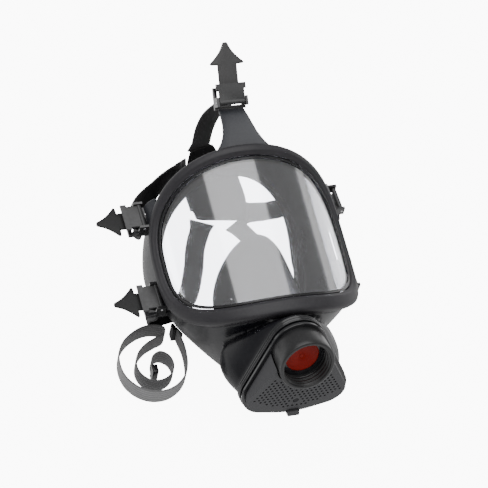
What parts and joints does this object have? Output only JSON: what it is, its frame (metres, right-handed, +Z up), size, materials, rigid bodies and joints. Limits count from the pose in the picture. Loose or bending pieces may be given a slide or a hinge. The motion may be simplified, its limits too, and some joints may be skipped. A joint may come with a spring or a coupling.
{
  "type": "full face respirator",
  "caption": "Full face respirator with wide cylindrical visor, rubber face seal, threaded inlet port, speech and exhale cover, and five-point rubber harness.",
  "frame": {"origin": "on the table, below the middle of the mask and its harness as they lie on their back", "axes": "+Z up from the table, +Y from the chin to the forehead, +X to the wearer's left"},
  "size_m": [0.241, 0.326, 0.2059],
  "materials": {
    "rubber": "matt moulded rubber",
    "silicone": "satin silicone",
    "black_plastic": "satin black moulding",
    "cover_plastic": "dark grey moulding with a fine texture",
    "visor": "clear hard-coated polycarbonate",
    "red_valve": "satin red silicone",
    "buckle_metal": "black coated steel",
    "bright_steel": "plain stainless steel",
    "webbing": "woven grey webbing"
  },
  "bodies": {
    "mask": {"visor_lens": "visor", "visor_rim": "rubber", "lens_bead": "black_plastic", "face_blank": "rubber", "face_seal_lip": "rubber", "nose_cup": "silicone", "check_valve_seat_right": "black_plastic", "check_valve_seat_left": "black_plastic", "connector_housing": "black_plastic", "clamp_band": "black_plastic", "port_tube": "black_plastic", "inhalation_valve_seat": "black_plastic", "inhalation_valve_spider": "black_plastic", "exhalation_valve_seat": "black_plastic", "speech_diaphragm": "bright_steel", "diaphragm_ring": "black_plastic", "grille_cover": "cover_plastic", "cover_screw": "bright_steel", "cover_latch": "black_plastic", "lug_top": "rubber", "lug_temple_right": "rubber", "lug_temple_left": "rubber", "lug_cheek_right": "rubber", "lug_cheek_left": "rubber", "buckle_frame_top": "buckle_metal", "buckle_frame_temple_right": "buckle_metal", "buckle_frame_temple_left": "buckle_metal", "buckle_frame_cheek_right": "buckle_metal", "buckle_frame_cheek_left": "buckle_metal", "buckle_pin_top": "bright_steel", "buckle_pin_temple_right": "bright_steel", "buckle_pin_temple_left": "bright_steel", "buckle_pin_cheek_right": "bright_steel", "buckle_pin_cheek_left": "bright_steel", "strap_top": "rubber", "strap_temple_right": "rubber", "strap_temple_left": "rubber", "strap_cheek_right": "rubber", "strap_cheek_left": "rubber", "harness_plate": "rubber", "neck_strap_lug": "rubber", "neck_strap": "webbing", "neck_strap_eyelet": "black_plastic"},
    "lever_top": {"buckle_lever_top": "buckle_metal"},
    "lever_temple_right": {"buckle_lever_temple_right": "buckle_metal"},
    "lever_temple_left": {"buckle_lever_temple_left": "buckle_metal"},
    "lever_cheek_right": {"buckle_lever_cheek_right": "buckle_metal"},
    "lever_cheek_left": {"buckle_lever_cheek_left": "buckle_metal"},
    "inhalation_flap": {"inhalation_disc": "red_valve"},
    "exhalation_flap": {"exhalation_disc": "silicone"},
    "check_flap_right": {"check_valve_disc_right": "silicone"},
    "check_flap_left": {"check_valve_disc_left": "silicone"}
  },
  "joints": [
    {"name": "lever_top_lift", "type": "hinge", "parent": "mask", "child": "lever_top", "pos_m": [0.01395, 0.1164, 0.17246], "axis": [1, 0, 0], "range_deg": [0, 65]},
    {"name": "lever_temple_right_lift", "type": "hinge", "parent": "mask", "child": "lever_temple_right", "pos_m": [-0.07805, 0.05807, 0.09009], "axis": [0, 1, 0], "range_deg": [0, 65]},
    {"name": "lever_temple_left_lift", "type": "hinge", "parent": "mask", "child": "lever_temple_left", "pos_m": [0.11755, 0.05378, 0.08676], "axis": [0, -1, 0], "range_deg": [0, 65]},
    {"name": "lever_cheek_right_lift", "type": "hinge", "parent": "mask", "child": "lever_cheek_right", "pos_m": [-0.07905, -0.02199, 0.07191], "axis": [0, 1, 0], "range_deg": [0, 65]},
    {"name": "lever_cheek_left_lift", "type": "hinge", "parent": "mask", "child": "lever_cheek_left", "pos_m": [0.11355, -0.02165, 0.06534], "axis": [0, -1, 0], "range_deg": [0, 65]},
    {"name": "inhalation_lift", "type": "slide", "parent": "mask", "child": "inhalation_flap", "axis": [0, 0.94, -0.3411], "range_m": [0, 0.002], "stiffness_N_per_m": 60, "springref_m": -0.001},
    {"name": "exhalation_lift", "type": "slide", "parent": "mask", "child": "exhalation_flap", "axis": [0, -0.94, 0.3411], "range_m": [0, 0.0025], "stiffness_N_per_m": 60, "springref_m": -0.001},
    {"name": "check_right_lift", "type": "slide", "parent": "mask", "child": "check_flap_right", "axis": [0.9275, -0.1263, -0.3519], "range_m": [0, 0.0015], "stiffness_N_per_m": 40, "springref_m": -0.001},
    {"name": "check_left_lift", "type": "slide", "parent": "mask", "child": "check_flap_left", "axis": [-0.9275, -0.1263, -0.3519], "range_m": [0, 0.0015], "stiffness_N_per_m": 40, "springref_m": -0.001}
  ]
}
